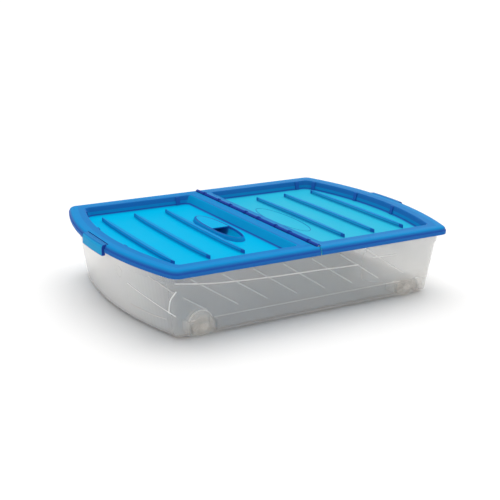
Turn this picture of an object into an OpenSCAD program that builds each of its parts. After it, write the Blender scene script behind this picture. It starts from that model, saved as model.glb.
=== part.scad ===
// Low wheeled storage box with a two-flap lid. Millimetres, +Z up, origin on the ground
// under the middle of the box, +X along its length.

/* [Lid] */
// Length over the lid's curved end skirts
lid_length = 800; // [790:2:810]
// Width over the lid's long skirts
lid_width = 592; // [588:2:600]
// Height of the lid's rim above the ground
rim_height = 163; // [161:1:168]
// How far each curved end bulges past the lid's corners
end_bulge = 53; // [48:1:58]
// Depth of the sunken panel below the rim
panel_depth = 22; // [18:1:24]
// Width of the rim along the long sides
side_rim = 40; // [36:1:44]
// Width of the rim at the curved ends
end_rim = 38.5; // [36:0.5:48]
// Thickness of the lid's plastic
lid_wall = 2.2; // [1.8:0.1:2.6]

/* [Bin] */
// Height of the bin's lower edge above the ground
bin_base = 7; // [6:0.5:8]
// Length of the bin's base over its curved ends
base_length = 718; // [712:2:724]
// Width of the bin's base
base_width = 513; // [510:1:520]
// Thickness of the bin's walls
bin_wall = 2.4; // [2:0.1:3]

/* [Wheels] */
// Radius of each wheel
wheel_r = 23.5; // [22.5:0.5:24]
// Width of each wheel's tread
wheel_w = 22; // [18:1:24]
// Distance between the axles along the box
axle_span = 524; // [520:2:530]

/* [Hinge] */
// Radius of the hinge barrels
barrel_r = 4.3; // [4:0.1:4.5]
// Radius of the rod through the barrels
rod_r = 1.95; // [1.8:0.05:2.1]
// Length of each long barrel
long_barrel = 84; // [76:2:88]

/* [Latches] */
// Width of each end latch
latch_w = 114; // [100:2:120]

/* [Hidden] */
$fn = 64;
eps = 0.01;
blue = [0.10, 0.50, 0.85];
cyan = [0.10, 0.62, 0.90];
milky = [0.86, 0.88, 0.90];
steel = [0.75, 0.77, 0.80];

// Outlines: [half length at the middle, half width, end arc radius, corner radius]
arc_steps = 20;
corner_steps = 5;
lid_tip = lid_length / 2;
lid_half = lid_width / 2;
lid_arc = (lid_half * lid_half + end_bulge * end_bulge) / (2 * end_bulge);
lid_corner = 24;
lid_plan = [lid_tip, lid_half, lid_arc, lid_corner];
base_plan = [base_length / 2, base_width / 2, 845, 6];
corner_growth = 28;

// Lid levels
skirt_low = rim_height - 17;
skirt_turn = rim_height - 8.5;
panel_z = rim_height - panel_depth;
flange_z = skirt_low + 4;
bin_top = rim_height - lid_wall - 0.4;

// Hinge
axis_z = rim_height + 0.2;
rod_fit = 0.07;
collar_r = barrel_r + 1.5;
collar_w = 7;
hinge_clear = collar_r + 0.5;
barrel_pitch = 136;
barrel_gap = 0.5;
hinge_end = 284;
skirt_gap = 4;
hinge_wall_end = 274;
seat_half = 9.2;
seat_z = axis_z - barrel_r - 0.4;

// Latches: the pivot lies just inside the rim's outer edge
pivot_in = 8.5;
pivot_r = 4;
pivot_z = rim_height - 4.1;
pocket_back = pivot_in + pivot_r + 0.4;
latch_side = 2.5;
trunnion_r = 1.8;
trunnion_fit = 0.06;
latch_proud = 2.6;
latch_wall = 2.5;
latch_low = skirt_low - 7;

// Wheels and their housings
axle_z = wheel_r;
axle_x = axle_span / 2;
cheek_out = -263.4;
cheek_in = -224.4;
cheek_t = 2.5;
axle_y = (cheek_out + cheek_in) / 2;
pin_r = 3;
pin_fit = 0.06;
well_r = wheel_r + 2;
house_r = well_r + 2.5;
foot_half = house_r + 4;
foot_top = axle_z + 10;

// Wall of the bin: half width grows from the base to the lid
wall_rise = skirt_low - bin_base;
wall_out = lid_half - 13 - base_width / 2;
tip_out = lid_tip - 13 - base_length / 2;
wall_lean = atan(wall_out / wall_rise);
end_step_z = 124;
end_step = 3;

function corner_x(p) = p[0] - p[2] + sqrt(pow(p[2] - p[3], 2) - pow(p[1] - p[3], 2));
function turn(p) = asin((p[1] - p[3]) / (p[2] - p[3]));
// One curved end, from the long side at -Y round to the one at +Y
function end_points(p) = let(t = turn(p), cx = corner_x(p)) concat(
    [for (i = [0 : corner_steps - 1]) let(a = -90 + (90 - t) * i / corner_steps)
        [cx + p[3] * cos(a), -p[1] + p[3] + p[3] * sin(a)]],
    [for (i = [0 : arc_steps]) let(a = -t + 2 * t * i / arc_steps)
        [p[0] - p[2] + p[2] * cos(a), p[2] * sin(a)]],
    [for (i = [1 : corner_steps]) let(a = t + (90 - t) * i / corner_steps)
        [cx + p[3] * cos(a), p[1] - p[3] + p[3] * sin(a)]]);
function inset(p, d, de = undef, rc = undef) = let(e = is_undef(de) ? d : de)
    [p[0] - e, p[1] - d, p[2] - e, is_undef(rc) ? max(4, p[3] - d) : rc];
function oval_ring(p, z) = let(e = end_points(p))
    concat([for (q = e) [q[0], q[1], z]], [for (q = e) [-q[0], -q[1], z]]);
// Half outline on the +X side, closed by a straight edge at x = g with corners rounded by r
function half_ring(p, g, z, r = 0.2) = concat([for (q = end_points(p)) [q[0], q[1], z]],
    [for (i = [0 : corner_steps]) let(a = 90 + 90 * i / corner_steps)
        [g + r + r * cos(a), p[1] - r + r * sin(a), z]],
    [for (i = [0 : corner_steps]) let(a = 180 + 90 * i / corner_steps)
        [g + r + r * cos(a), -p[1] + r + r * sin(a), z]]);
function ellipse_ring(x, y, a, b, z, n = 40) =
    [for (i = [0 : n - 1]) [x + a * cos(360 * i / n), y + b * sin(360 * i / n), z]];

// Solid through a stack of rings that all have the same number of points
module loft(rings) {
    n = len(rings[0]);
    k = len(rings);
    polyhedron(points = [for (r = rings) each r], convexity = 6, faces = concat(
        [[for (i = [0 : n - 1]) i]],
        [for (j = [0 : k - 2], i = [0 : n - 1])
            [j * n + i, (j + 1) * n + i, (j + 1) * n + (i + 1) % n]],
        [for (j = [0 : k - 2], i = [0 : n - 1])
            [j * n + i, (j + 1) * n + (i + 1) % n, j * n + (i + 1) % n]],
        [[for (i = [n - 1 : -1 : 0]) (k - 1) * n + i]]));
}

module along_y(x, z, y0, y1, r) {
    translate([x, y0, z]) rotate([-90, 0, 0]) cylinder(r = r, h = y1 - y0);
}

// ---- Lid flaps, drawn on the +X side and mirrored for the left one ----

// Rounding of the skirt into the rim: [height, inset]
function skirt_turn_rows(t) = [for (i = [0 : 5]) let(a = 90 * i / 5, r = 8.5 - t)
    [skirt_turn + r * sin(a), 10 - r * cos(a)]];

module flap_skin() {
    rows = concat([[skirt_low, 0]], skirt_turn_rows(0));
    loft([for (q = rows) half_ring(inset(lid_plan, q[1]), skirt_gap / 2, q[0])]);
}

// Tub sunk into the rim, grown outward by extra; its walls lean in towards the panel
lean_side = 4;
lean_end = 5;
lean_hinge = 9;
module flap_recess(edge_x, extra, low, high) {
    loft([
        half_ring(inset(lid_plan, side_rim + lean_side - extra, end_rim + lean_end - extra,
            20 + extra), edge_x + lean_hinge - extra, low, 12 + extra),
        half_ring(inset(lid_plan, side_rim - extra, end_rim - extra, 14 + extra),
            edge_x - extra, high, 8 + extra)]);
}

module flap_underside(edge_x) {
    rows = concat([[skirt_low - 1, lid_wall]], skirt_turn_rows(lid_wall));
    difference() {
        loft([for (q = rows) half_ring(inset(lid_plan, q[1]), -1, q[0])]);
        flap_recess(edge_x, lid_wall, panel_z - lid_wall, rim_height + 1);
        translate([-2, -hinge_wall_end, 0])
            cube([hinge_clear + lid_wall + 2, 2 * hinge_wall_end, rim_height]);
    }
}

module flap_shell(edge_x) {
    difference() {
        flap_skin();
        flap_recess(edge_x, 0, panel_z, rim_height + eps);
        flap_underside(edge_x);
    }
    // floor of the tub hangs below the skirt, so it is added and not cut
    difference() {
        flap_recess(edge_x, lid_wall, panel_z - lid_wall, rim_height - 1);
        flap_recess(edge_x, 0, panel_z, rim_height + 1);
    }
}

// Raised stiffening rib with a curved blade-like plan
rib_half = 196.5;
rib_shift = 3.5;
rib_high = 8;
rib_steps = 12;
function rib_edge(x, s, w) = [for (i = [0 : rib_steps]) let(u = -1 + 2 * i / rib_steps)
    [x + s * w * sqrt(1 - pow(abs(u), 4) * 0.96) + 3 * (1 - u * u), rib_shift + u * rib_half]];
function rib_ring(x, w, z) = let(a = rib_edge(x, 1, w), b = rib_edge(x, -1, w)) concat(
    [for (q = a) [q[0], q[1], z]], [for (i = [rib_steps : -1 : 0]) [b[i][0], b[i][1], z]]);
module flap_rib(x) {
    loft([rib_ring(x, 6.5, panel_z - 1), rib_ring(x, 5.5, panel_z + rib_high - 2.5),
        rib_ring(x, 3.2, panel_z + rib_high)]);
}

module flap_knuckles(spans, collared) {
    for (s = spans) {
        along_y(0, axis_z, s[0], s[1], barrel_r);
        translate([0, s[0], axis_z - barrel_r]) cube([hinge_clear + 1, s[1] - s[0], barrel_r - 0.8]);
        if (collared) for (y = [s[0], s[1] - collar_w])
            along_y(0, axis_z, y, y + collar_w, collar_r);
    }
}

// Room for the barrels between the two flaps
module hinge_cut() {
    length = 2 * hinge_end + 1.2;
    along_y(0, axis_z, -length / 2, length / 2, hinge_clear);
    translate([0, -length / 2, panel_z]) cube([hinge_clear, length, axis_z - panel_z]);
}

module latch_pocket() {
    translate([lid_tip - pocket_back, -latch_w / 2 - 1, skirt_low - 1]) cube([30, latch_w + 2, 30]);
}

module latch_cheeks() {
    intersection() {
        flap_skin();
        for (s = [-1, 1]) translate([lid_tip - 13, s * (latch_w / 2 + 4) - 3, pivot_z - 3.7])
            cube([13, 6, 7]);
    }
}

module trunnion_bores() {
    along_y(lid_tip - pivot_in, pivot_z, -latch_w / 2 - 6, latch_w / 2 + 6, trunnion_r + trunnion_fit);
}

// Stacking pads stand against the tub's walls
pad_w = 10.5;
pad_high = 21;
// Pad against a wall at u = 0 that leans in by lean over the panel's depth
module pad(lean) {
    top_lean = lean * (1 - pad_high / panel_depth);
    translate([0, pad_w / 2, panel_z]) rotate([90, 0, 0]) linear_extrude(pad_w)
        polygon([[-lean - 3, -1], [-lean + 1, -1], [1 - top_lean, pad_high], [-3 - top_lean, pad_high]]);
}
module end_pad(y) {
    r = lid_arc - end_rim;
    translate([lid_tip - lid_arc, 0, 0]) rotate([0, 0, asin(y / r)]) translate([r, 0, 0]) pad(lean_end);
}
module side_pad(x) {
    translate([x, lid_half - side_rim, 0]) rotate([0, 0, 90]) pad(lean_side);
}

long_spans = [for (c = [-1.5, -0.5, 0.5, 1.5]) let(y = c * barrel_pitch)
    [y - long_barrel / 2, y + long_barrel / 2]];
short_spans = [
    [-hinge_end, long_spans[0][0] - barrel_gap],
    [long_spans[0][1] + barrel_gap, long_spans[1][0] - barrel_gap],
    [long_spans[1][1] + barrel_gap, long_spans[2][0] - barrel_gap],
    [long_spans[2][1] + barrel_gap, long_spans[3][0] - barrel_gap],
    [long_spans[3][1] + barrel_gap, hinge_end]];

module flap(edge_x, spans, collared, pad_x) {
    difference() {
        union() {
            difference() {
                union() {
                    flap_shell(edge_x);
                    latch_cheeks();
                }
                hinge_cut();
                latch_pocket();
            }
            for (x = [130, 213, 296]) flap_rib(x);
            for (y = [-77, 77, 230]) end_pad(y);
            side_pad(pad_x);
            flap_knuckles(spans, collared);
        }
        along_y(0, axis_z, -hinge_end - 1, hinge_end + 1, rod_r + rod_fit);
        trunnion_bores();
    }
}

// Finger grip of the left flap: a hooded half and an open half
grip_x = 90;
grip_a = 28;
grip_b = 111;
grip_high = 9;
grip_deep = 13;
module grip_boss() {
    loft([ellipse_ring(grip_x, 0, grip_a, grip_b, panel_z - 1),
        ellipse_ring(grip_x, 0, grip_a - 1, grip_b - 2, panel_z + grip_high - 3),
        ellipse_ring(grip_x, 0, grip_a - 4, grip_b - 6, panel_z + grip_high)]);
    loft([ellipse_ring(grip_x, -28, grip_a - 8, 62, panel_z - grip_deep),
        ellipse_ring(grip_x, -28, grip_a - 3, 72, panel_z)]);
}
module grip_hollow() {
    loft([ellipse_ring(grip_x, -28, grip_a - 10.5, 59, panel_z - grip_deep + 2.2),
        ellipse_ring(grip_x, -28, grip_a - 6, 68, panel_z + 3),
        ellipse_ring(grip_x, -28, grip_a - 7, 66, panel_z + grip_high - 2.4)]);
    intersection() {
        loft([ellipse_ring(grip_x, -5, grip_a - 6, 100, panel_z + 3),
            ellipse_ring(grip_x, -5, grip_a - 6, 100, panel_z + grip_high + 1)]);
        translate([0, -200, panel_z - 1]) cube([200, 190, 30]);
    }
}

module left_lid() {
    color(cyan) mirror([1, 0, 0]) difference() {
        union() {
            flap(34, long_spans, true, 71);
            grip_boss();
        }
        grip_hollow();
    }
}

module right_lid() {
    color(cyan) flap(24, short_spans, false, 286);
}

module hinge_rod() {
    color(steel) along_y(0, axis_z, -hinge_end - 0.2, hinge_end + 0.2, rod_r);
}

// ---- Latches ----

// Profile of the latch in the plane through its middle: [distance from the box's middle, height]
latch_face = lid_tip + latch_proud;
latch_front = [[latch_face - latch_wall, latch_low], [latch_face - 7.5, latch_low + 0.5],
    [latch_face - 7.5, latch_low + 2.5], [latch_face - latch_wall, latch_low + 5],
    [latch_face - latch_wall - 0.5, pivot_z - 2], [lid_tip - pivot_in + 1.5, pivot_z - 1],
    [lid_tip - pivot_in + 0.5, pivot_z + pivot_r - 0.3], [latch_face - 4.5, pivot_z + pivot_r - 0.3],
    [latch_face - 1.5, pivot_z + 1.5], [latch_face, pivot_z - 3], [latch_face, latch_low]];
latch_end = [[latch_face - 1, latch_low + 0.4], [latch_face - 7.2, latch_low + 1],
    [latch_face - 7.2, skirt_turn - 2], [lid_tip - pivot_in + 0.6, pivot_z - 1.6],
    [latch_face - 1.6, pivot_z - 1.3]];
// Sweeps a profile round the end's arc between two distances across the box
module latch_sweep(profile, y0, y1) {
    centre = lid_tip - lid_arc;
    a0 = asin(y0 / lid_arc);
    translate([centre, 0, 0]) rotate([0, 0, a0]) rotate_extrude(angle = asin(y1 / lid_arc) - a0, $fn = 360)
        translate([-centre, 0]) polygon(profile);
}
module latch() {
    half = latch_w / 2;
    latch_sweep(latch_front, -half, half);
    latch_sweep(latch_end, -half + 0.3, -half + latch_side);
    latch_sweep(latch_end, half - latch_side, half - 0.3);
    along_y(lid_tip - pivot_in, pivot_z, -half, half, pivot_r);
    along_y(lid_tip - pivot_in, pivot_z, -half - 5, half + 5, trunnion_r);
}

module left_latch() { color(blue) mirror([1, 0, 0]) latch(); }
module right_latch() { color(blue) latch(); }

// ---- Bin ----

// Rows of the bin's outside: [height, inset of the sides, inset of the ends]
function wall_plan(z, d) = let(f = (z - bin_base) / wall_rise, s = z > end_step_z ? end_step : 0)
    inset([base_plan[0] + (tip_out - end_step) * f + s, base_plan[1] + wall_out * f,
        base_plan[2], base_plan[3] + corner_growth * f], d);

module bin_outside() {
    loft([
        oval_ring(wall_plan(bin_base, 2), bin_base),
        oval_ring(wall_plan(bin_base + 0.8, 0.5), bin_base + 0.8),
        oval_ring(wall_plan(bin_base + 2.4, 0), bin_base + 2.4),
        oval_ring(wall_plan(end_step_z - 1, 0), end_step_z - 1),
        oval_ring(wall_plan(end_step_z + 1, 0), end_step_z + 1),
        oval_ring(wall_plan(skirt_low, 0), skirt_low),
        oval_ring(wall_plan(skirt_low, 0), flange_z),
        oval_ring(wall_plan(skirt_low, -6), flange_z + 0.3),
        oval_ring(wall_plan(skirt_low, -6), flange_z + 2.5),
        oval_ring(wall_plan(skirt_low, 0), flange_z + 2.8),
        oval_ring(wall_plan(skirt_low, 0), bin_top)]);
}

module bin_inside() {
    loft([
        oval_ring(wall_plan(bin_base, 5 + bin_wall), bin_base + 2.5),
        oval_ring(wall_plan(bin_base + 4, 1 + bin_wall), bin_base + 4.5),
        oval_ring(wall_plan(bin_base + 8, bin_wall), bin_base + 8),
        oval_ring(wall_plan(end_step_z - 1, bin_wall), end_step_z - 1),
        oval_ring(wall_plan(end_step_z + 1, bin_wall), end_step_z + 1),
        oval_ring(wall_plan(skirt_low, bin_wall), skirt_low),
        oval_ring(wall_plan(skirt_low, bin_wall), bin_top + 1)]);
}

module at_corners() {
    for (sx = [0, 1], sy = [0, 1]) mirror([sx, 0, 0]) mirror([0, sy, 0]) children();
}

module housing() {
    intersection() {
        along_y(axle_x, axle_z, cheek_out, cheek_in, house_r);
        translate([axle_x - house_r, cheek_out, bin_base])
            cube([2 * house_r, cheek_in - cheek_out, 2 * house_r]);
    }
    translate([axle_x - foot_half, cheek_out, bin_base])
        cube([2 * foot_half, cheek_in - cheek_out, foot_top - bin_base]);
    along_y(axle_x, axle_z, cheek_out - 1.2, cheek_out + 1, 11);
}

module wheel_well() {
    along_y(axle_x, axle_z, cheek_out + cheek_t, cheek_in - cheek_t, well_r);
    translate([axle_x - well_r, cheek_out + cheek_t, bin_base - 1])
        cube([2 * well_r, cheek_in - cheek_out - 2 * cheek_t, axle_z - bin_base + 1]);
    along_y(axle_x, axle_z, cheek_out - 2, cheek_in + 1, pin_r + pin_fit);
    along_y(axle_x, axle_z, cheek_out - 2, cheek_out, 8.5);
}

// Thickened band along the foot of each long wall, past the housings
band_top = 42;
module foot_band() {
    half = axle_x + foot_half;
    out = base_width / 2 + wall_out * (band_top - bin_base) / wall_rise;
    translate([-half, 0, 0]) rotate([90, 0, 90]) linear_extrude(2 * half)
        polygon([[-base_width / 2 + 2, bin_base], [-out, bin_base], [-out, band_top],
            [-out + 1.5, band_top]]);
}

// Slanting relief ribs on a long wall
rib_low = 60;
rib_top = 137;
rib_pitch = 72;
rib_start = -258;
rib_lean = 117;
rib_limit = 316;
module wall_rib(x) {
    part = min(1, (x + rib_limit) / rib_lean);
    rise = part * (rib_top - rib_low) / cos(wall_lean);
    start = (rib_low - bin_base) / cos(wall_lean);
    far = x - part * rib_lean;
    translate([0, -base_width / 2, bin_base]) rotate([90 + wall_lean, 0, 0])
        translate([0, 0, -0.4]) linear_extrude(1.4)
            polygon([[x - 1, start], [x + 1, start], [far + 1, start + rise], [far - 1, start + rise]]);
}

// Seats in the top of the long walls for the hinge
module hinge_seat() {
    translate([-seat_half, -lid_half, seat_z]) cube([2 * seat_half, lid_width, 20]);
}

module bin() {
    color(milky) difference() {
        union() {
            difference() {
                bin_outside();
                bin_inside();
            }
            at_corners() housing();
            for (a = [0, 180]) rotate([0, 0, a]) {
                foot_band();
                for (i = [0 : 7]) wall_rib(rib_start + i * rib_pitch);
            }
        }
        at_corners() wheel_well();
        hinge_seat();
    }
}

// ---- Wheels and axle pins ----

module wheel_at(sx, sy) {
    color(milky) translate([sx * axle_x, sy * -axle_y, axle_z]) rotate([90, 0, 0]) difference() {
        union() {
            rotate_extrude() polygon([[wheel_r - 4, -wheel_w / 2], [wheel_r - 1.5, -wheel_w / 2],
                [wheel_r, -wheel_w / 2 + 1.5], [wheel_r, wheel_w / 2 - 1.5], [wheel_r - 1.5, wheel_w / 2],
                [wheel_r - 4, wheel_w / 2]]);
            cylinder(r = wheel_r - 3, h = 3, center = true);
            cylinder(r = 7, h = 32.8, center = true);
            for (a = [0 : 60 : 300]) rotate([0, 0, a]) translate([5, -1, -8]) cube([wheel_r - 8, 2, 16]);
        }
        cylinder(r = pin_r + pin_fit + 0.02, h = 60, center = true);
    }
}

module axle_at(sx, sy) {
    color(milky) mirror([0, sy > 0 ? 1 : 0, 0]) {
        along_y(sx * axle_x, axle_z, cheek_out - 0.5, cheek_in + 1.5, pin_r);
        along_y(sx * axle_x, axle_z, cheek_out - 1.8, cheek_out - 0.2, 7);
    }
}

module wheel_front_left() { wheel_at(-1, -1); }
module wheel_front_right() { wheel_at(1, -1); }
module wheel_rear_left() { wheel_at(-1, 1); }
module wheel_rear_right() { wheel_at(1, 1); }
module axle_front_left() { axle_at(-1, -1); }
module axle_front_right() { axle_at(1, -1); }
module axle_rear_left() { axle_at(-1, 1); }
module axle_rear_right() { axle_at(1, 1); }

bin();
left_lid();
right_lid();
hinge_rod();
left_latch();
right_latch();
wheel_front_left();
wheel_front_right();
wheel_rear_left();
wheel_rear_right();
axle_front_left();
axle_front_right();
axle_rear_left();
axle_rear_right();
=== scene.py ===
import math

import bmesh
import bpy
from mathutils import Matrix, Vector


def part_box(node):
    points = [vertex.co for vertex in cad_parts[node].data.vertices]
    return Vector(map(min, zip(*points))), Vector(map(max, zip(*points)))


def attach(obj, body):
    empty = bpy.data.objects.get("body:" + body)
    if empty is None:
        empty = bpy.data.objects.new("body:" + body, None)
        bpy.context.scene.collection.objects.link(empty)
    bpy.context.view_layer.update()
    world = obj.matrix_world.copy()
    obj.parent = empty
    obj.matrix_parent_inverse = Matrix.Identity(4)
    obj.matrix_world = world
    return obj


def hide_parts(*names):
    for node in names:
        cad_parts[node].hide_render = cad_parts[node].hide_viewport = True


# Lengths in this script are millimetres until build() turns them into metres.
MM = 0.001

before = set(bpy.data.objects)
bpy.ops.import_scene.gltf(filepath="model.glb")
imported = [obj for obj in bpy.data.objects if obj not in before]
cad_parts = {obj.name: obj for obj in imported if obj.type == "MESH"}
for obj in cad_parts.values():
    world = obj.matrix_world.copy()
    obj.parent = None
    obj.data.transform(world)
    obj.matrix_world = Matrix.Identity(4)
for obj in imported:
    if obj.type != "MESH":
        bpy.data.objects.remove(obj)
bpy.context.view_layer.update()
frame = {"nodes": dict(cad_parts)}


def node_box(node):
    """Lowest and highest corners of a CAD node in millimetres."""
    low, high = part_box(node)
    return low / MM, high / MM


BIN_LOW, BIN_HIGH = node_box("bin")
LID_HIGH = node_box("right_lid")[1]
WHEEL_LOW, WHEEL_HIGH = node_box("wheel_front_right")

# Lid, the CAD's design with a few looks of its own
LID_TIP = LID_HIGH.x
LID_HALF = LID_HIGH.y
RIM_Z = 163.0
PANEL_DEPTH = 22.0
PANEL_Z = RIM_Z - PANEL_DEPTH
LID_WALL = 2.2
END_BULGE = 53.0
LID_ARC = (LID_HALF ** 2 + END_BULGE ** 2) / (2 * END_BULGE)
LID_PLAN = (LID_TIP, LID_HALF, LID_ARC, 24.0)
SKIRT_LOW = RIM_Z - 17
SKIRT_ROUND = 8.5
SKIRT_TURN = RIM_Z - SKIRT_ROUND
SIDE_RIM = 40.0
END_RIM = 38.5
LEAN_SIDE = 4.0
LEAN_END = 5.0
LEAN_HINGE = 9.0
LEFT_EDGE = 34.0
RIGHT_EDGE = 24.0
LEFT_SIDE_PAD = 71.0
RIGHT_SIDE_PAD = 286.0
END_PADS = (-77.0, 77.0, 230.0)

# Hinge
AXIS_Z = RIM_Z + 0.2
BARREL_R = 4.3
COLLAR_R = BARREL_R + 1.48
COLLAR_W = 7.0
HINGE_CLEAR = 6.3
HINGE_END = 284.0
LONG_BARREL = 84.0
BARREL_PITCH = 136.0
BARREL_GAP = 0.5
SKIRT_GAP = 2.6
HINGE_WALL_END = 274.0
ROD_BORE = 2.02

# Bin
BIN_BASE = BIN_LOW.z
BASE_PLAN = (359.0, 256.5, 845.0, 6.0)
CORNER_GROWTH = 28.0
WALL_RISE = SKIRT_LOW - BIN_BASE
LID_OVERHANG = 13.0
WALL_OUT = LID_HALF - LID_OVERHANG - BASE_PLAN[1]
TIP_OUT = LID_TIP - LID_OVERHANG - BASE_PLAN[0]
BIN_WALL = 2.4
BIN_TOP = BIN_HIGH.z
FLANGE_Z = RIM_Z - 13
END_STEP_Z = 124.0
END_STEP = 3.0

# Wheels and their housings
AXLE_X = (WHEEL_LOW.x + WHEEL_HIGH.x) / 2
AXLE_Z = (WHEEL_LOW.z + WHEEL_HIGH.z) / 2
WHEEL_R = AXLE_Z
CHEEK_OUT = -263.4
CHEEK_IN = -224.4
CHEEK_T = 2.5
WELL_R = WHEEL_R + 2
HOUSE_R = WELL_R + 2.5
FOOT_HALF = HOUSE_R + 4
FOOT_TOP = AXLE_Z + 10
PIN_BORE = 3.06

ARC_STEPS = 44
CORNER_STEPS = 9


# ---- outlines: (half length at the middle, half width, end arc radius, corner radius) ----

def end_points(plan):
    """One curved end from the lower long side round to the upper one."""
    tip, half, arc, corner = plan
    turn = math.asin((half - corner) / (arc - corner))
    centre_x = tip - arc + (arc - corner) * math.cos(turn)
    points = []
    for i in range(CORNER_STEPS):
        a = -math.pi / 2 + (math.pi / 2 - turn) * i / CORNER_STEPS
        points.append((centre_x + corner * math.cos(a), corner - half + corner * math.sin(a)))
    for i in range(ARC_STEPS + 1):
        a = -turn + 2 * turn * i / ARC_STEPS
        points.append((tip - arc + arc * math.cos(a), arc * math.sin(a)))
    for i in range(1, CORNER_STEPS + 1):
        a = turn + (math.pi / 2 - turn) * i / CORNER_STEPS
        points.append((centre_x + corner * math.cos(a), half - corner + corner * math.sin(a)))
    return points


def inset(plan, sides, ends=None, corner=None):
    ends = sides if ends is None else ends
    corner = max(4.0, plan[3] - sides) if corner is None else corner
    return (plan[0] - ends, plan[1] - sides, plan[2] - ends, corner)


def oval_ring(plan, z):
    points = end_points(plan)
    return [(x, y, z) for x, y in points] + [(-x, -y, z) for x, y in points]


def half_ring(plan, edge, z, r=0.2):
    """Half outline on the +X side, closed by a straight edge at x = edge with rounded corners."""
    half = plan[1]
    ring = [(x, y, z) for x, y in end_points(plan)]
    for i in range(CORNER_STEPS + 1):
        a = math.pi / 2 + math.pi / 2 * i / CORNER_STEPS
        ring.append((edge + r + r * math.cos(a), half - r + r * math.sin(a), z))
    for i in range(CORNER_STEPS + 1):
        a = math.pi + math.pi / 2 * i / CORNER_STEPS
        ring.append((edge + r + r * math.cos(a), -half + r + r * math.sin(a), z))
    return ring


def ellipse_ring(x, y, a, b, z, n=72, full=1.0):
    """Ellipse, or with full below 1 an oval with blunter ends."""
    ring = []
    for i in range(n):
        c, s = math.cos(math.tau * i / n), math.sin(math.tau * i / n)
        ring.append((x + a * math.copysign(abs(c) ** full, c), y + b * math.copysign(abs(s) ** full, s), z))
    return ring


# ---- solids; each face carries a tone, which its material reads as depth of colour or haze, and which also holds painted shade and painted light ----

def build(name, vertices, faces, tones):
    """A closed mesh object from millimetres, with its normals pointing out."""
    mesh = bpy.data.meshes.new(name)
    bm = bmesh.new()
    layer = bm.faces.layers.float.new("tone")
    made = [bm.verts.new(Vector(v) * MM) for v in vertices]
    for face, tone in zip(faces, tones):
        bm.faces.new([made[i] for i in face])[layer] = tone
    bmesh.ops.recalc_face_normals(bm, faces=bm.faces)
    bm.to_mesh(mesh)
    bm.free()
    obj = bpy.data.objects.new(name, mesh)
    bpy.context.scene.collection.objects.link(obj)
    return obj


def loft(rings, tone=0.5, name="tool"):
    """Solid through rings of equal length; tone is one value, or first end, each band, last end."""
    n = len(rings[0])
    bands = tone if isinstance(tone, list) else [tone] * (len(rings) + 1)
    vertices = [v for ring in rings for v in ring]
    faces = [list(range(n)), [(len(rings) - 1) * n + i for i in range(n)]]
    tones = [bands[0], bands[-1]]
    for j in range(len(rings) - 1):
        for i in range(n):
            k = (i + 1) % n
            faces.append((j * n + i, (j + 1) * n + i, (j + 1) * n + k, j * n + k))
            tones.append(bands[j + 1])
    return build(name, vertices, faces, tones)


def tint(obj, rule):
    """Changes tones by rule(centre in millimetres, normal, tone)."""
    mesh = obj.data
    values = mesh.attributes["tone"].data
    for face in mesh.polygons:
        values[face.index].value = rule(face.center / MM, face.normal, values[face.index].value)
    return obj


def bar(x, z, y0, y1, r, n=40, soft=0.0, tone=0.5):
    """Round bar along Y with its ends softened."""
    stations = [(y0, r), (y1, r)]
    if soft:
        stations = [(y0, r - soft), (y0 + soft, r), (y1 - soft, r), (y1, r - soft)]
    return loft([[(x + q * math.cos(math.tau * i / n), y, z + q * math.sin(math.tau * i / n))
                  for i in range(n)] for y, q in stations], tone)


def block(x0, x1, y0, y1, z0, z1, tone=0.5):
    return loft([[(x0, y0, z), (x1, y0, z), (x1, y1, z), (x0, y1, z)] for z in (z0, z1)], tone)


def combine(target, tool, operation):
    modifier = target.modifiers.new("shape", "BOOLEAN")
    modifier.object = tool
    modifier.operation = operation
    modifier.solver = "MANIFOLD"
    graph = bpy.context.evaluated_depsgraph_get()
    mesh = bpy.data.meshes.new_from_object(target.evaluated_get(graph))
    target.modifiers.clear()
    old = target.data
    target.data = mesh
    bpy.data.meshes.remove(old)
    spent = tool.data
    bpy.data.objects.remove(tool)
    bpy.data.meshes.remove(spent)
    return target


def cut(target, *tools):
    for tool in tools:
        combine(target, tool, "DIFFERENCE")
    return target


def fuse(target, *tools):
    for tool in tools:
        combine(target, tool, "UNION")
    return target


def keep_within(target, tool):
    return combine(target, tool, "INTERSECT")


def mirror_x(obj):
    """Turns a piece drawn on the +X side into the one on the -X side."""
    bm = bmesh.new()
    bm.from_mesh(obj.data)
    for v in bm.verts:
        v.co.x = -v.co.x
    bmesh.ops.reverse_faces(bm, faces=bm.faces)
    bm.to_mesh(obj.data)
    bm.free()


def smooth(obj, degrees=32):
    """Smooth shading with sharp folds, after tiny leftovers of the booleans are merged."""
    bm = bmesh.new()
    bm.from_mesh(obj.data)
    bmesh.ops.remove_doubles(bm, verts=bm.verts, dist=0.02 * MM)
    bmesh.ops.dissolve_degenerate(bm, edges=bm.edges, dist=0.01 * MM)
    bmesh.ops.triangulate(bm, faces=[f for f in bm.faces if len(f.verts) > 4])
    for f in bm.faces:
        f.smooth = True
    bm.to_mesh(obj.data)
    bm.free()
    obj.data.set_sharp_from_angle(angle=math.radians(degrees))


# ---- lid flaps, drawn on the +X side ----

# Tones of the lid's blue. Deep and dark tones on grooves, creases, the hinge and recesses are painted
# shade; pale tones on faces that lie in shade are painted light.
PALE, EDGE, RIM, SKIRT, DEEP, DARK_PAINTED_SHADE = 0.0, 0.3, 0.46, 0.62, 0.82, 1.0


def skirt_turn_rows(t, steps=9):
    """Rounding of the skirt into the rim as (height, inset), t inside the outer face."""
    r = SKIRT_ROUND - t
    rows = []
    for i in range(steps + 1):
        a = math.pi / 2 * i / steps
        rows.append((SKIRT_TURN + r * math.sin(a), 10 - r * math.cos(a)))
    return rows


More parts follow.
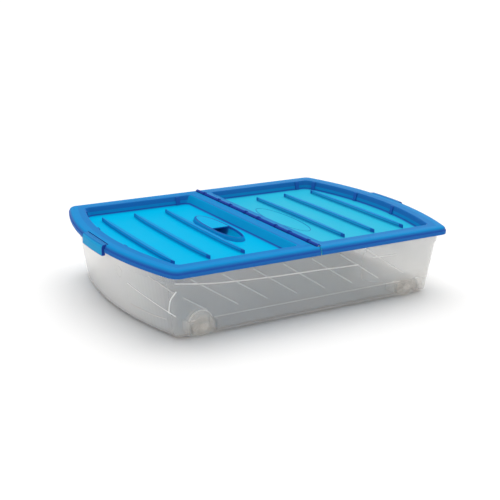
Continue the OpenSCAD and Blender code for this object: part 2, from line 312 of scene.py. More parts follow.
def flap_skin():
    foot = [(SKIRT_LOW, 0.7), (SKIRT_LOW + 0.25, 0.25), (SKIRT_LOW + 0.8, 0.1), (SKIRT_TURN - 0.6, 0.1)]
    rows = foot + skirt_turn_rows(0) + [(RIM_Z, 22)]
    # Tones over the rounding: deeper low down and paler towards the rim, as painted shade and painted
    # light.
    turn = [0.74, 0.7, 0.6, 0.5, 0.42, 0.36, 0.32, 0.32, 0.36]
    tone = [DEEP, 0.72, 0.66, 0.6, 0.74] + turn + [0.36, RIM]
    return loft([half_ring(inset(LID_PLAN, d), SKIRT_GAP / 2, z) for z, d in rows], tone)


def tub_rows(edge_fillet, foot_fillet):
    """Tub wall from the panel up to the rim as (height, fillet inset, tone above); the deeper tones on the
    foot fillet are painted shade in the crease.
    """
    rows = []
    floor = PANEL_Z + foot_fillet
    for i, tone in enumerate((0.15, 0.3, 0.5, 0.7, 0.7, 0.62)):
        a = math.pi / 2 * i / 5
        rows.append((floor - foot_fillet * math.cos(a), foot_fillet * (1 - math.sin(a)), tone))
    rows += [(floor + 0.7, 0, 0.26), (PANEL_Z + 10.5, 0, 0.52)]
    for i, tone in enumerate((0.52, 0.52, 0.56, 0.56, 0.5, RIM)):
        a = math.radians(80) * i / 5
        rows.append((RIM_Z - edge_fillet * (1 - math.sin(a)), -edge_fillet * (1 - math.cos(a)), tone))
    rows.append((RIM_Z + 2, -edge_fillet - 1, RIM))
    return rows


def lean_at(z):
    """Share of the tub wall's lean at a height: 0 at the rim, 1 at the panel."""
    return max(0.0, min(1.0, (RIM_Z - z) / PANEL_DEPTH))


def flap_recess(edge_x):
    rows = tub_rows(2.2, 3.0)
    rings = []
    for z, shift, _ in rows:
        lean = lean_at(z)
        plan = inset(LID_PLAN, SIDE_RIM + LEAN_SIDE * lean + shift, END_RIM + LEAN_END * lean + shift,
                     14 + 6 * lean)
        rings.append(half_ring(plan, edge_x + LEAN_HINGE * lean + shift, z, 8 + 4 * lean))

    # Painted light: the tub's hinge-side wall, which lies in shade, is set pale.
    def painted_light_hinge_side(centre, normal, tone):
        hinge_side = centre.x < edge_x + LEAN_HINGE + 4 and normal.x < -0.5
        return min(tone, 0.12) if hinge_side and centre.z > PANEL_Z + 3.5 else tone

    return tint(loft(rings, [PALE] + [row[2] for row in rows]), painted_light_hinge_side)


def flap_tub(edge_x, low, high):
    """The tub's outside, one wall thickness larger."""
    rings = []
    for z in (low, high):
        lean = lean_at(z)
        plan = inset(LID_PLAN, SIDE_RIM + LEAN_SIDE * lean - LID_WALL,
                     END_RIM + LEAN_END * lean - LID_WALL, 16 + 6 * lean)
        rings.append(half_ring(plan, edge_x + LEAN_HINGE * lean - LID_WALL, z, 10 + 4 * lean))
    return loft(rings, [0.05, 0.25, 0.3])


def flap_underside(edge_x):
    rows = [(SKIRT_LOW - 1, LID_WALL + 0.1)] + skirt_turn_rows(LID_WALL)
    hollow = loft([half_ring(inset(LID_PLAN, d), -1.0, z) for z, d in rows], EDGE)
    cut(hollow, flap_tub(edge_x, PANEL_Z - LID_WALL, RIM_Z + 1))
    return cut(hollow, block(-2, HINGE_CLEAR + LID_WALL, -HINGE_WALL_END, HINGE_WALL_END, 120, RIM_Z))


RIB_X = (130.0, 213.0, 296.0)
RIB_HALF = 196.5
RIB_SHIFT = 3.5
RIB_HIGH = 9.0


def rib_ring(x, w, z, steps=36):
    side = []
    for i in range(steps + 1):
        u = -1 + 2 * i / steps
        side.append((w * math.sqrt(1 - 0.96 * abs(u) ** 4), 3 * (1 - u * u), RIB_SHIFT + u * RIB_HALF))
    right = [(x + half + bow, y, z) for half, bow, y in side]
    left = [(x - half + bow, y, z) for half, bow, y in side]
    return right + left[::-1]


def flap_rib(x):
    rows = [(7.4, -0.6), (6.9, 0.15), (6.6, 1.2), (6.4, 2.8), (6.2, 4.6), (5.9, RIB_HIGH - 2.0),
            (5.6, RIB_HIGH - 1.1), (4.9, RIB_HIGH - 0.4), (3.9, RIB_HIGH), (2.8, RIB_HIGH)]
    # Deep lines along the rib's side and top edge and deeper rib ends are painted shade; the rest of the
    # rib keeps the blue's pale fill.
    body = loft([rib_ring(x, w, PANEL_Z + z) for w, z in rows],
                [RIM, 0.1, 0.05, 0.05, 0.5, 0.08, 0.12, 0.4, 0.62, 0.3, 0.22])
    return tint(body, lambda centre, normal, tone: max(tone, 0.6)
                if abs(centre.y - RIB_SHIFT) > RIB_HALF - 6 and centre.z > PANEL_Z + 1 else tone)


PAD_W = 10.5
PAD_HIGH = 21.0


def pad(matrix, lean):
    """Stacking pad that stands against a leaning tub wall at u = 0."""
    top = lean * (1 - PAD_HIGH / PANEL_DEPTH)
    outline = [(-lean - 3, -1), (-lean + 1, -1), (1 - top, PAD_HIGH), (-3 + 0.8 - top, PAD_HIGH),
               (-3 - top, PAD_HIGH - 0.8)]
    stand = matrix @ Matrix(((1, 0, 0, 0), (0, 0, -1, PAD_W / 2), (0, 1, 0, PANEL_Z), (0, 0, 0, 1)))
    return loft([[tuple(stand @ Vector((u, w, depth))) for u, w in outline] for depth in (0.0, PAD_W)],
                SKIRT)


def end_pad(y):
    r = LID_ARC - END_RIM
    turn = Matrix.Rotation(math.asin(y / r), 4, "Z")
    arc_centre = Matrix.Translation((LID_TIP - LID_ARC, 0, 0))
    return pad(arc_centre @ turn @ Matrix.Translation((r, 0, 0)), LEAN_END)


def side_pad(x):
    place = Matrix.Translation((x, LID_HALF - SIDE_RIM, 0)) @ Matrix.Rotation(math.pi / 2, 4, "Z")
    return pad(place, LEAN_SIDE)


LONG_SPANS = [(c * BARREL_PITCH - LONG_BARREL / 2, c * BARREL_PITCH + LONG_BARREL / 2)
              for c in (-1.5, -0.5, 0.5, 1.5)]
SHORT_STARTS = [-HINGE_END] + [high + BARREL_GAP for _, high in LONG_SPANS]
SHORT_STOPS = [low - BARREL_GAP for low, _ in LONG_SPANS] + [HINGE_END]
SHORT_SPANS = list(zip(SHORT_STARTS, SHORT_STOPS))


def knuckles(flap, spans, collared):
    for y0, y1 in spans:
        # Webs, barrels and dark collars are painted shade of the hinge's groove.
        fuse(flap, block(0, HINGE_CLEAR + 1, y0, y1, AXIS_Z - BARREL_R, AXIS_Z - 0.8, 0.9))
        fuse(flap, bar(0, AXIS_Z, y0, y1, BARREL_R, soft=0.4, tone=0.92))
        if collared:
            fuse(flap, bar(0, AXIS_Z, y0, y0 + COLLAR_W, COLLAR_R, soft=0.6, tone=DARK_PAINTED_SHADE))
            fuse(flap, bar(0, AXIS_Z, y1 - COLLAR_W, y1, COLLAR_R, soft=0.6, tone=DARK_PAINTED_SHADE))


LATCH_HALF = 57.0
PIVOT_X = LID_TIP - 8.5
PIVOT_Z = RIM_Z - 4.1
POCKET_BACK = LID_TIP - 12.9
TRUNNION_BORE = 1.86


def flap_body(edge_x):
    """Skirt, rim, tub and panel as one skin of even thickness."""
    skin = flap_skin()
    cut(skin, flap_underside(edge_x))
    under_rim = block(0, 400, -300, 300, 100, RIM_Z - 1.5)
    fuse(skin, keep_within(flap_tub(edge_x, PANEL_Z - LID_WALL, RIM_Z - 1.5), under_rim))
    # The cheeks, the hinge channel and the latch pocket are cut with deep and dark tones: painted shade in
    # these recesses.
    for s in (-1, 1):
        cheek = block(LID_TIP - 13, LID_TIP, s * (LATCH_HALF + 4) - 3, s * (LATCH_HALF + 4) + 3,
                      PIVOT_Z - 3.7, PIVOT_Z + 3.3, DEEP)
        fuse(skin, keep_within(cheek, flap_skin()))
    cut(skin, flap_recess(edge_x))
    length = 2 * HINGE_END + 1.2
    cut(skin, bar(0, AXIS_Z, -length / 2, length / 2, HINGE_CLEAR, 56, tone=DEEP))
    cut(skin, block(-3, HINGE_CLEAR, -length / 2, length / 2, 130, AXIS_Z + 1, DEEP))
    pocket = LATCH_HALF + 1
    cut(skin, block(POCKET_BACK, LID_TIP + 30, -pocket, pocket, SKIRT_LOW - 1, RIM_Z + 5, DARK_PAINTED_SHADE))
    return skin


def hinge_lines_painted_highlight(body, edge_x):
    """Shallow steps along the hinge that part the strip beside it from the rim, and give the strip and the
    narrow band by the hinge paler tones as a painted highlight.
    """
    low, high = RIM_Z - 0.15, RIM_Z + 1
    start = HINGE_CLEAR - 1
    reach = LID_HALF - SIDE_RIM + 4
    cut(body, block(start, edge_x - 6, -reach, reach, low, high, 0.38))
    cut(body, block(start, HINGE_CLEAR + 2.6, -HINGE_WALL_END, HINGE_WALL_END, low - 0.1, high, 0.2))


def flap(name, edge_x, spans, collared, pad_x):
    body = flap_body(edge_x)
    hinge_lines_painted_highlight(body, edge_x)
    for x in RIB_X:
        fuse(body, flap_rib(x))
    for y in END_PADS:
        fuse(body, end_pad(y))
    fuse(body, side_pad(pad_x))
    knuckles(body, spans, collared)
    cut(body, bar(0, AXIS_Z, -HINGE_END - 1, HINGE_END + 1, ROD_BORE, 24))
    cut(body, bar(PIVOT_X, PIVOT_Z, -LATCH_HALF - 6, LATCH_HALF + 6, TRUNNION_BORE, 24))
    body.name = name

    # Painted light: the flap's end faces in the gap beyond the hinge are set pale.
    def painted_light_gap(centre, normal, tone):
        return PALE if abs(centre.y) > HINGE_END + 1 and centre.x < 3 else tone

    return tint(body, painted_light_gap)


GRIP_X = 90.0
GRIP_FULL = 0.88
BOWL_Y = -28.0
HOOD_Y = -10.0


def grip(body):
    """Finger grip: a raised oval, closed over its back half and open in front; the scoop is pale as painted
    light, and deeper under the hood and in the mouth as painted shade.
    """
    rows = [(30, 112.5, -0.6), (28.8, 111.5, 0.2), (28, 110.8, 1.2), (27.4, 109.6, 5.5), (26.6, 108.6, 7.4),
            (25.2, 107, 8.7), (23.6, 105, 9), (20.8, 102, 9)]
    fuse(body, loft([ellipse_ring(GRIP_X, 0, a, b, PANEL_Z + z, full=GRIP_FULL) for a, b, z in rows],
                    [DEEP, 0.7, 0.5, 0.22, 0.16, 0.4, 0.6, 0.78, 0.06]))
    bowl = [(15, 56, -13), (19, 61, -11.5), (20.5, 64, -8), (25, 72, 0)]
    fuse(body, loft([ellipse_ring(GRIP_X, BOWL_Y, a, b, PANEL_Z + z) for a, b, z in bowl], 0.3))
    hollow = [(12, 52, -10.8), (16, 57, -9.6), (18.5, 60.5, -6.5), (22, 68, 3), (21, 66, 6.6)]
    # Pale scoop: painted light in the hollow, deeper under the hood as painted shade.
    scoop = loft([ellipse_ring(GRIP_X, BOWL_Y, a, b, PANEL_Z + z) for a, b, z in hollow],
                 [PALE, PALE, PALE, 0.05, 0.2, 0.5])
    cut(body, tint(scoop, lambda centre, normal, tone: 0.4 if centre.y > HOOD_Y - 4 else tone))
    # Mouth under the hood cut with deep tones: painted shade.
    mouth = loft([ellipse_ring(GRIP_X, -5, 22, 100, PANEL_Z + z, full=GRIP_FULL) for z in (3, 10)],
                 [0.1, 0.6, 0.6])
    cut(body, keep_within(mouth, block(0, 200, -200, HOOD_Y, PANEL_Z - 1, PANEL_Z + 30, SKIRT)))


def engraved_oval(body):
    """Fine groove on the plain flap where the other flap has its grip."""
    low, high = PANEL_Z - 0.5, PANEL_Z + 1
    groove = loft([ellipse_ring(GRIP_X, 10, 29.2, 118.2, z) for z in (low, high)], SKIRT)
    cut(groove, loft([ellipse_ring(GRIP_X, 10, 27, 116, z) for z in (low - 1, high + 1)], SKIRT))
    cut(body, groove)


def make_left_lid():
    body = flap("left_lid_shell", LEFT_EDGE, LONG_SPANS, True, LEFT_SIDE_PAD)
    grip(body)
    mirror_x(body)
    return body


def make_right_lid():
    body = flap("right_lid_shell", RIGHT_EDGE, SHORT_SPANS, False, RIGHT_SIDE_PAD)
    engraved_oval(body)
    return body


# ---- bin ----

# Haze of the bin's faces. The raised lines (LINE) are thick and white, partly for their thicker plastic and
# partly as a painted highlight; the ends' extra haze is painted light.
CLEAR, CORNER_HAZE, END_HAZE_PAINTED_LIGHT, HAZY = 0.2, 0.23, 0.51, 0.32
FLOOR_HAZE, LINE = 0.6, 0.95


def wall_plan(z, d):
    f = (z - BIN_BASE) / WALL_RISE
    step = END_STEP if z > END_STEP_Z else 0
    return inset((BASE_PLAN[0] + (TIP_OUT - END_STEP) * f + step, BASE_PLAN[1] + WALL_OUT * f,
                  BASE_PLAN[2], BASE_PLAN[3] + CORNER_GROWTH * f), d)


def hazier_ends_painted_light(centre, normal, tone):
    """More haze on the curved end walls, away from the corners, as painted light on the ends, and no step
    line on the long ones.
    """
    if END_STEP_Z - 2 < centre.z < END_STEP_Z + 2 and abs(normal.x) < 0.7:
        return CLEAR
    if abs(normal.x) < 0.7 or tone == FLOOR_HAZE:
        return tone
    middle = max(0.0, 1 - (centre.y / BASE_PLAN[1]) ** 2)
    return max(tone, CORNER_HAZE + (END_HAZE_PAINTED_LIGHT - CORNER_HAZE) * middle)


def bin_outside():
    """Outside of the bin, through rows of (height of the plan, inset, height, haze above)."""
    top = SKIRT_LOW
    rows = [(BIN_BASE, 2.4, BIN_BASE, HAZY), (BIN_BASE + 0.3, 1.2, BIN_BASE + 0.3, HAZY),
            (BIN_BASE + 1.0, 0.4, BIN_BASE + 1.0, HAZY), (BIN_BASE + 2.4, 0, BIN_BASE + 2.4, CLEAR),
            (END_STEP_Z - 1.2, 0, END_STEP_Z - 1.2, HAZY),
            (END_STEP_Z + 1.2, 0, END_STEP_Z + 1.2, CLEAR), (top, 0, top, CLEAR),
            (top, 0, FLANGE_Z, CLEAR), (top, -6, FLANGE_Z + 0.3, CLEAR), (top, -6, FLANGE_Z + 2.5, CLEAR),
            (top, 0, FLANGE_Z + 2.8, CLEAR), (top, 0, BIN_TOP, CLEAR)]
    rings = [oval_ring(wall_plan(at, d), z) for at, d, z, _ in rows]
    return tint(loft(rings, [FLOOR_HAZE] + [row[3] for row in rows]), hazier_ends_painted_light)


def bin_inside():
    top = SKIRT_LOW
    rows = [(BIN_BASE, 9.5, BIN_BASE + 2.5), (BIN_BASE + 3, 5.4, BIN_BASE + 3.1),
            (BIN_BASE + 5, 3.4, BIN_BASE + 4.8), (BIN_BASE + 8, BIN_WALL, BIN_BASE + 8),
            (END_STEP_Z - 1.2, BIN_WALL, END_STEP_Z - 1.2), (END_STEP_Z + 1.2, BIN_WALL, END_STEP_Z + 1.2),
            (top, BIN_WALL, top), (top, BIN_WALL, BIN_TOP + 1)]
    inside = loft([oval_ring(wall_plan(at, d), z) for at, d, z in rows],
                  [FLOOR_HAZE, HAZY, HAZY] + [CLEAR] * (len(rows) - 2))
    return tint(inside, hazier_ends_painted_light)


CORNERS = [(sx, sy) for sx in (-1, 1) for sy in (-1, 1)]


def bar_at(corner, y0, y1, r, n=56, soft=0.0, tone=CLEAR):
    """Bar on a wheel's axis; y0 and y1 are given for the front side."""
    sx, sy = corner
    low, high = sorted((-sy * y0, -sy * y1))
    return bar(sx * AXLE_X, AXLE_Z, low, high, r, n, soft, tone)


def block_at(corner, half, y0, y1, z0, z1, tone=CLEAR):
    sx, sy = corner
    low, high = sorted((-sy * y0, -sy * y1))
    return block(sx * AXLE_X - half, sx * AXLE_X + half, low, high, z0, z1, tone)


def housing(body, corner):
    drum = bar_at(corner, CHEEK_OUT, CHEEK_IN, HOUSE_R, 72, 0.8, 0.08)
    fuse(body, keep_within(drum, block_at(corner, HOUSE_R, CHEEK_OUT, CHEEK_IN, BIN_BASE, 80)))
    foot = block_at(corner, FOOT_HALF, CHEEK_OUT, CHEEK_IN, BIN_BASE, FOOT_TOP, 0.08)
    fuse(body, tint(foot, lambda centre, normal, tone: HAZY if abs(normal.x) > 0.9 else tone))
    fuse(body, bar_at(corner, CHEEK_OUT - 1.2, CHEEK_OUT + 1, 11, 40, 0.4, 0.2))


def wheel_well(body, corner):
    out, inner = CHEEK_OUT + CHEEK_T, CHEEK_IN - CHEEK_T
    cut(body, bar_at(corner, out, inner, WELL_R, 64))
    cut(body, block_at(corner, WELL_R, out, inner, BIN_BASE - 1, AXLE_Z))
    cut(body, bar_at(corner, CHEEK_OUT - 2, CHEEK_IN + 1, PIN_BORE, 24))
    cut(body, bar_at(corner, CHEEK_OUT - 2, CHEEK_OUT, 8.5, 40))


def long_wall_y(z):
    return BASE_PLAN[1] + WALL_OUT * (z - BIN_BASE) / WALL_RISE


def on_long_wall(x, z):
    """Point on the front wall's face, with the way out of it."""
    return Vector((x, -long_wall_y(z), z)), Vector((0, -1, 0))


def on_end_wall(y, z):
    """Point on the left end wall's face, with the way out of it."""
    tip, _, arc, _ = wall_plan(z, 0)
    a = math.asin(y / arc)
    return Vector((arc - tip - arc * math.cos(a), y, z)), Vector((-math.cos(a), math.sin(a), 0))


def on_drum(corner, a):
    """Point on a housing's round top over the middle of the wheel, with the way out of it."""
    sx, sy = corner
    out = Vector((math.cos(a), 0, math.sin(a)))
    return Vector((sx * AXLE_X, -sy * (CHEEK_OUT + CHEEK_IN) / 2, AXLE_Z)) + out * HOUSE_R, out


def smooth_path(points, steps=8):
    """Catmull-Rom curve through the points."""
    padded = [points[0]] + list(points) + [points[-1]]
    path = []
    for a, b, c, d in zip(padded, padded[1:], padded[2:], padded[3:]):
        for i in range(steps):
            t = i / steps
            path.append(tuple(0.5 * (2 * q + (r - p) * t + (2 * p - 5 * q + 4 * r - s) * t ** 2
                                     + (3 * q - p - 3 * r + s) * t ** 3)
                              for p, q, r, s in zip(a, b, c, d)))
    path.append(tuple(points[-1]))
    return path


def bead(places, radius, proud, turn=0.0, tone=LINE, n=10):
    """Raised line along (point, way out) pairs, turned about Z for the opposite wall."""
    spin = Matrix.Rotation(turn, 4, "Z")
    rings = []
    for i, (point, out) in enumerate(places):
        along = (places[min(len(places) - 1, i + 1)][0] - places[max(0, i - 1)][0]).normalized()
        side = along.cross(out).normalized()
        centre = point - out * (radius - proud)
        rings.append([tuple(spin @ (centre + side * radius * math.cos(math.tau * k / n)
                                    + out * radius * math.sin(math.tau * k / n))) for k in range(n)])
    return loft(rings, tone)


BAND_TOP = 42.0
# Haze of the painted highlight along the foot band's top edge.
BAND_TOP_PAINTED_HIGHLIGHT = 0.75
RIB_HAZE = 0.45


def foot_band(body, turn):
    half = AXLE_X + FOOT_HALF
    out = long_wall_y(BAND_TOP)
    outline = [(-BASE_PLAN[1] + 2, BIN_BASE + 2), (-out + 1.5, BIN_BASE), (-out + 0.4, BIN_BASE + 0.4),
               (-out, BIN_BASE + 1.6), (-out, BAND_TOP - 1.8), (-out + 0.5, BAND_TOP - 0.4),
               (-out + 1.5, BAND_TOP)]
    spin = Matrix.Rotation(turn, 4, "Z")
    rings = [[tuple(spin @ Vector((x, y, z))) for y, z in outline] for x in (-half, half)]

    # Painted highlight: the band's top edge is set thick and white.
    def painted_highlight_band_top(centre, normal, tone):
        return BAND_TOP_PAINTED_HIGHLIGHT if centre.z > BAND_TOP - 1.7 else tone

    fuse(body, tint(loft(rings, CLEAR), painted_highlight_band_top))


RIB_START, RIB_PITCH, RIB_LEAN, RIB_LIMIT = -258.0, 72.0, 117.0, 316.0
RIB_LOW, RIB_TOP = 60.0, 137.0
SWEPT_LINE = [(-337, 133), (-262, 121), (-191, 115), (-110, 110.5), (-50, 108.5), (15, 106.5), (80, 103.6),
              (112, 102.5)]


def long_wall_reliefs(body, turn):
    """Slanting ribs, the long swept line above them and the short flat line."""
    for i in range(8):
        x = RIB_START + RIB_PITCH * i
        share = min(1.0, (x + RIB_LIMIT) / RIB_LEAN)
        top = on_long_wall(x - RIB_LEAN * share, RIB_LOW + (RIB_TOP - RIB_LOW) * share)
        fuse(body, bead([on_long_wall(x, RIB_LOW), top], 1.4, 0.9, turn, RIB_HAZE))
    fuse(body, bead([on_long_wall(x, z) for x, z in smooth_path(SWEPT_LINE)], 1.6, 1.0, turn, 0.75))
    fuse(body, bead([on_long_wall(150, 114.5), on_long_wall(215, 111.5)], 1.3, 0.8, turn, RIB_HAZE))


END_LINES = [([(-107, 88), (-183, 73), (-259, 55)], 0.8), ([(-105, 38.6), (-172, 38), (-230, 41)], 0.55),
             ([(-272, 112), (-251, 87), (-240, 57)], 0.8), ([(-266, 108), (-235, 117), (-200, 130)], 0.55)]
END_BOSS = (-76, 107)
END_BOSS_R = 14.0


def end_wall_reliefs(body, turn):
    """Swept ribs, a short arc by the corner and a round ring on an end wall."""
    for points, haze in END_LINES:
        fuse(body, bead([on_end_wall(y, z) for y, z in smooth_path(points)], 1.6, 0.9, turn, haze))
    ring = [(END_BOSS[0] + END_BOSS_R * math.cos(a), END_BOSS[1] + END_BOSS_R * math.sin(a))
            for a in (math.radians(20 * i) for i in range(18))]
    fuse(body, bead([on_end_wall(y, z) for y, z in ring], 1.4, 0.7, turn, 0.5))


def drum_arch(body, corner):
    """Raised arch over each wheel, round the top of its housing."""
    arc = [on_drum(corner, math.radians(6 + 8 * i)) for i in range(22)]
    fuse(body, bead(arc, 2.4, 1.7, tone=1.0))


def make_bin():
    body = bin_outside()
    cut(body, bin_inside())
    for corner in CORNERS:
        housing(body, corner)
    for turn in (0.0, math.pi):
        foot_band(body, turn)
        long_wall_reliefs(body, turn)
        end_wall_reliefs(body, turn)
    for corner in CORNERS:
        drum_arch(body, corner)
        wheel_well(body, corner)
    seat_z = AXIS_Z - BARREL_R - 0.4
    cut(body, block(-9.2, 9.2, -LID_HALF, LID_HALF, seat_z, seat_z + 20))
    body.name = "bin_shell"
    return body


# ---- materials ----

class Nodes:
    """Small helper that adds nodes to a material and links them by name."""

    def __init__(self, name):
        self.material = bpy.data.materials.new(name)
        self.material.use_nodes = True
        self.tree = self.material.node_tree
        self.tree.nodes.clear()

    def add(self, kind, inputs=None, **settings):
        node = self.tree.nodes.new(kind)
        for key, value in settings.items():
            setattr(node, key, value)
        for key, value in (inputs or {}).items():
            if isinstance(value, bpy.types.NodeSocket):
                self.tree.links.new(value, node.inputs[key])
            else:
                node.inputs[key].default_value = value
        return node

    def math(self, operation, first, second, clamp=False):
        node = self.add("ShaderNodeMath", {0: first, 1: second}, operation=operation, use_clamp=clamp)
        return node.outputs[0]

    def noise(self, place, scale, detail):
        node = self.add("ShaderNodeTexNoise", {"Vector": place, "Scale": scale, "Detail": detail})
        return node.outputs["Fac"]

    def span(self, value, from_min, from_max, to_min, to_max):
        return self.add("ShaderNodeMapRange", {"Value": value, "From Min": from_min, "From Max": from_max,
                                               "To Min": to_min, "To Max": to_max}).outputs["Result"]

    def ramp(self, factor, stops):
        node = self.add("ShaderNodeValToRGB", {"Fac": factor})
        while len(node.color_ramp.elements) < len(stops):
            node.color_ramp.elements.new(0.5)
        for element, (place, colour) in zip(node.color_ramp.elements, stops):
            element.position = place
            element.color = (*colour, 1)
        return node.outputs["Color"]

    def object_place(self):
        return self.add("ShaderNodeTexCoord").outputs["Object"]

    def tone(self):
        return self.add("ShaderNodeAttribute", attribute_name="tone").outputs["Fac"]


def linear(r, g, b):
    """Linear colour from the usual 0 to 255 values."""
    return tuple(c / 255 / 12.92 if c <= 10 else ((c / 255 + 0.055) / 1.055) ** 2.4 for c in (r, g, b))


def moulded(n, scale, strength):
    """Faint unevenness of moulded plastic: (mottle value, bump normal)."""
    place = n.object_place()
    fine = n.noise(place, scale * 14, 2.0)
    bump = n.add("ShaderNodeBump", {"Height": fine, "Strength": strength, "Distance": 0.0004})
    return n.noise(place, scale, 3.0), bump.outputs["Normal"]


# Colour of the blue by depth, from one clear layer to several layers or an edge; faces given deeper or
# paler tones for light use these blues as painted shade and painted light
PANEL_BLUE = linear(0, 184, 232)
# The far flap's panel is paler and glossier than the near one's: a painted sheen on a copy of the same
# plastic.
FAR_PANEL_BLUE_PAINTED_SHEEN = linear(44, 190, 224)
DEEPER_BLUES = [(0.2, linear(18, 156, 220)), (0.46, linear(32, 128, 200)), (0.62, linear(42, 108, 190)),
                (0.82, linear(40, 84, 176)), (1.0, linear(34, 64, 156))]


def see_through_blue(n, depth, panel, see_through, gloss):
    mottle, normal = moulded(n, 9.0, 0.12)
    depth = n.math("ADD", depth, n.span(mottle, 0, 1, -0.02, 0.02))
    colour = n.ramp(depth, [(0.0, panel)] + DEEPER_BLUES)
    rough = n.span(mottle, 0, 1, 0.28, 0.4)
    body = n.add("ShaderNodeBsdfPrincipled", {"Base Color": colour, "Roughness": rough, "Normal": normal,
                                              "Specular IOR Level": gloss, "IOR": 1.5})
    window = n.add("ShaderNodeBsdfTransparent", {"Color": colour})
    mixed = n.add("ShaderNodeMixShader", {"Fac": 1 - see_through, 1: window.outputs[0], 2: body.outputs[0]})
    n.add("ShaderNodeOutputMaterial", {"Surface": mixed.outputs[0]})
    return n.material


def lid_blue(name, panel, gloss):
    n = Nodes(name)
    return see_through_blue(n, n.tone(), panel, 0.06, gloss)


def latch_blue(name):
    """Blue that deepens towards the latch's top line, lower edge and sides: painted shade along the gap
    under the rim, and darker edges.
    """
    n = Nodes(name)
    place = n.add("ShaderNodeSeparateXYZ", {0: n.object_place()})
    across = n.math("ABSOLUTE", place.outputs["Y"], 0.0)
    side = n.span(across, (LATCH_HALF - 2.2) * MM, (LATCH_HALF - 0.8) * MM, 0.0, 0.75)
    low = n.span(place.outputs["Z"], (SKIRT_LOW - 5.6) * MM, (SKIRT_LOW - 6.6) * MM, 0.0, 0.7)
    top = n.span(place.outputs["Z"], (RIM_Z - 2.6) * MM, (RIM_Z - 1.4) * MM, 0.0, 0.3)
    depth = n.math("ADD", n.math("MAXIMUM", n.math("MAXIMUM", side, low), top), 0.14)
    return see_through_blue(n, depth, PANEL_BLUE, 0.1, 0.03)


# Warmer, darker floor: painted shade under the lid, which also takes back the blue that falls on it through
# the lid
FLOOR_PAINTED_SHADE = (0.87, 0.785, 0.765)


def bin_haze_and_painted_light(n):
    """Haze of the bin: the mesh's tone, thicker high up towards the right end as painted light on the side
    that the light reaches.
    """
    place = n.add("ShaderNodeSeparateXYZ", {0: n.object_place()})
    along = n.span(place.outputs["X"], 0.08, 0.26, 0.0, 0.22)
    high = n.span(place.outputs["Z"], 0.03, 0.065, 0.0, 1.0)
    return n.math("ADD", n.tone(), n.math("MULTIPLY", along, high))


def milky_clear(name, haze, edge_haze, shade=0.97):
    """Clear plastic with a haze: haze is a value, or None for the bin's own."""
    n = Nodes(name)
    mottle, normal = moulded(n, 7.0, 0.1)
    facing = n.add("ShaderNodeLayerWeight", {"Blend": 0.25}).outputs["Facing"]
    base = bin_haze_and_painted_light(n) if haze is None else haze
    rim = n.math("MULTIPLY", n.math("POWER", facing, 3.0), edge_haze)
    drift = n.span(mottle, 0, 1, -0.02, 0.02)
    factor = n.math("ADD", n.math("ADD", rim, drift), base, True)
    white = (shade, shade, shade)
    if haze is None:
        shades = [(0.52, white), (0.57, FLOOR_PAINTED_SHADE), (0.63, FLOOR_PAINTED_SHADE), (0.8, white)]
        colour = n.ramp(n.math("ADD", n.tone(), drift), shades)
    else:
        lighter = (shade + 0.02, shade + 0.02, shade + 0.018)
        colour = n.ramp(mottle, [(0.3, white), (0.7, lighter)])
    body = n.add("ShaderNodeBsdfPrincipled", {"Base Color": colour, "Roughness": 0.2, "Normal": normal,
                                              "Specular IOR Level": 0.35, "IOR": 1.5})
    window = n.add("ShaderNodeBsdfTransparent", {"Color": (1.0, 0.99, 0.975, 1)})
    mixed = n.add("ShaderNodeMixShader", {"Fac": factor, 1: window.outputs[0], 2: body.outputs[0]})
    n.add("ShaderNodeOutputMaterial", {"Surface": mixed.outputs[0]})
    return n.material


def drawn_steel(name):
    n = Nodes(name)
    stretch = n.add("ShaderNodeMapping", {"Vector": n.object_place(), "Scale": (900, 12, 900)})
    lines = n.noise(stretch.outputs[0], 1.0, 2.0)
    rough = n.span(lines, 0, 1, 0.22, 0.4)
    colour = n.ramp(lines, [(0.3, (0.5, 0.52, 0.55)), (0.7, (0.68, 0.7, 0.73))])
    body = n.add("ShaderNodeBsdfPrincipled", {"Base Color": colour, "Roughness": rough, "Metallic": 1.0})
    n.add("ShaderNodeOutputMaterial", {"Surface": body.outputs[0]})
    return n.material


def dress(obj, material):
    obj.data.materials.clear()
    obj.data.materials.append(material)


# ---- stage ----

def make_floor():
    size = 40.0
    bm = bmesh.new()
    bmesh.ops.create_grid(bm, x_segments=4, y_segments=4, size=size)
    mesh = bpy.data.meshes.new("floor")
    bm.to_mesh(mesh)
    bm.free()
    floor = bpy.data.objects.new("floor", mesh)
    bpy.context.scene.collection.objects.link(floor)
    n = Nodes("floor_white")
    grain = n.noise(n.object_place(), 2.0, 2.0)
    colour = n.ramp(grain, [(0.0, (0.93, 0.93, 0.93)), (1.0, (0.94, 0.94, 0.94))])
    body = n.add("ShaderNodeBsdfDiffuse", {"Color": colour})
    n.add("ShaderNodeOutputMaterial", {"Surface": body.outputs[0]})
    dress(floor, n.material)


SKY = 0.48
HORIZON = 1.2
HORIZON_TOP = 0.35
SKY_TINT = (1.0, 0.982, 0.955, 1)
SUN = 2.2
SUN_WIDTH = 75.0
SUN_FROM = (0.22, 0.3, 1.1)


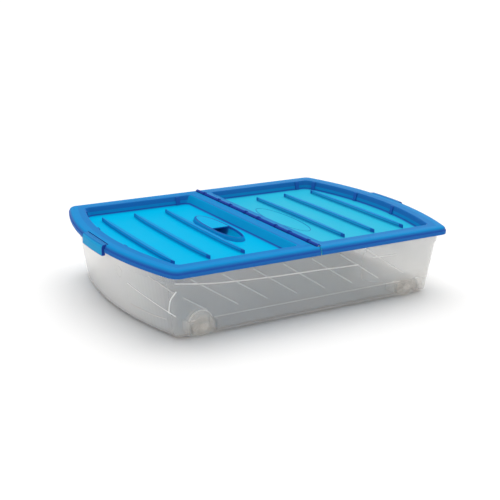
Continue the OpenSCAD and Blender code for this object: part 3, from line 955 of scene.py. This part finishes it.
def make_light():
    """White surroundings, brighter low down, and one very wide soft light from above and behind."""
    world = bpy.data.worlds.new("studio")
    bpy.context.scene.world = world
    world.use_nodes = True
    nodes, links = world.node_tree.nodes, world.node_tree.links
    background = nodes["Background"]
    background.inputs["Color"].default_value = SKY_TINT
    kinds = ("TexCoord", "SeparateXYZ", "MapRange")
    way, height, level = (nodes.new("ShaderNode" + kind) for kind in kinds)
    for socket, value in (("From Max", HORIZON_TOP), ("To Min", HORIZON), ("To Max", SKY)):
        level.inputs[socket].default_value = value
    links.new(way.outputs["Generated"], height.inputs[0])
    links.new(height.outputs["Z"], level.inputs["Value"])
    links.new(level.outputs["Result"], background.inputs["Strength"])
    data = bpy.data.lights.new("soft_key", "SUN")
    data.energy = SUN
    data.angle = math.radians(SUN_WIDTH)
    light = bpy.data.objects.new("soft_key", data)
    light.rotation_mode = "QUATERNION"
    light.rotation_quaternion = (-Vector(SUN_FROM)).to_track_quat("-Z", "Y")
    bpy.context.scene.collection.objects.link(light)


def make_camera():
    azimuth, elevation, roll = math.radians(-29.96), math.radians(16.9), math.radians(0.42)
    distance, target = 2.3974, Vector((-0.00365, 0.0021, 0.0791))
    away = Vector((math.sin(azimuth) * math.cos(elevation), -math.cos(azimuth) * math.cos(elevation),
                   math.sin(elevation)))
    data = bpy.data.cameras.new("camera")
    data.lens = 72.53
    data.sensor_width = 36
    data.clip_start, data.clip_end = 0.05, 200
    camera = bpy.data.objects.new("camera", data)
    camera.location = target + away * distance
    camera.rotation_mode = "QUATERNION"
    look = (-away).to_track_quat("-Z", "Y")
    camera.rotation_quaternion = look @ Matrix.Rotation(roll, 4, "Z").to_quaternion()
    bpy.context.scene.collection.objects.link(camera)
    bpy.context.scene.camera = camera


def latch_cover(side, material):
    """Thin skin over the latch's barrel, which closes the slot beside it."""
    outer, inner = 4.3, 3.7
    angles = [math.radians(80 + 10 * i) for i in range(10)]
    arc = [(outer * math.cos(a), outer * math.sin(a)) for a in angles]
    arc += [(inner * math.cos(a), inner * math.sin(a)) for a in reversed(angles)]
    half = LATCH_HALF - 0.2
    rings = [[(PIVOT_X + u, y, PIVOT_Z + w) for u, w in arc] for y in (-half, half)]
    cover = loft(rings, 0.5, side + "_latch_cover")
    if side == "left":
        mirror_x(cover)
    smooth(cover)
    dress(cover, material)
    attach(cover, side + "_clip")


def round_edges(obj, width, material):
    """Softens the edges of a CAD node and gives it its material."""
    dress(obj, material)
    bevel = obj.modifiers.new("soft_edges", "BEVEL")
    bevel.width = width * MM
    bevel.segments = 2
    bevel.limit_method = "ANGLE"
    bevel.angle_limit = math.radians(40)
    bevel.harden_normals = True


def stand_in_for(piece, node, body, material):
    """Detailed piece that takes a CAD node's place."""
    smooth(piece)
    dress(piece, material)
    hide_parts(node)
    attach(piece, body)


def main():
    milky = milky_clear("milky_bin", None, 0.5)
    near_blue = lid_blue("blue_lid", PANEL_BLUE, 0.006)
    # The far flap gets its own copy of the blue with a painted sheen.
    far_blue_painted_sheen = lid_blue("blue_far_lid_painted_sheen", FAR_PANEL_BLUE_PAINTED_SHEEN, 0.02)
    stand_in_for(make_bin(), "bin", "bin", milky)
    stand_in_for(make_left_lid(), "left_lid", "left_flap", near_blue)
    stand_in_for(make_right_lid(), "right_lid", "right_flap", far_blue_painted_sheen)
    nodes = frame["nodes"]
    blue = latch_blue("blue_latch")
    for side in ("left", "right"):
        round_edges(nodes[side + "_latch"], 0.5, blue)
        latch_cover(side, blue)
    wheel = milky_clear("milky_wheel", 0.2, 0.6)
    axle = milky_clear("milky_axle", 0.2, 0.6)
    for corner in ("front_left", "front_right", "rear_left", "rear_right"):
        round_edges(nodes["wheel_" + corner], 0.3, wheel)
        round_edges(nodes["axle_" + corner], 0.2, axle)
    dress(nodes["hinge_rod"], drawn_steel("drawn_rod"))


main()
make_floor()
make_light()
make_camera()
scene = bpy.context.scene
scene.view_settings.view_transform = "Standard"
scene.cycles.transparent_max_bounces = 24
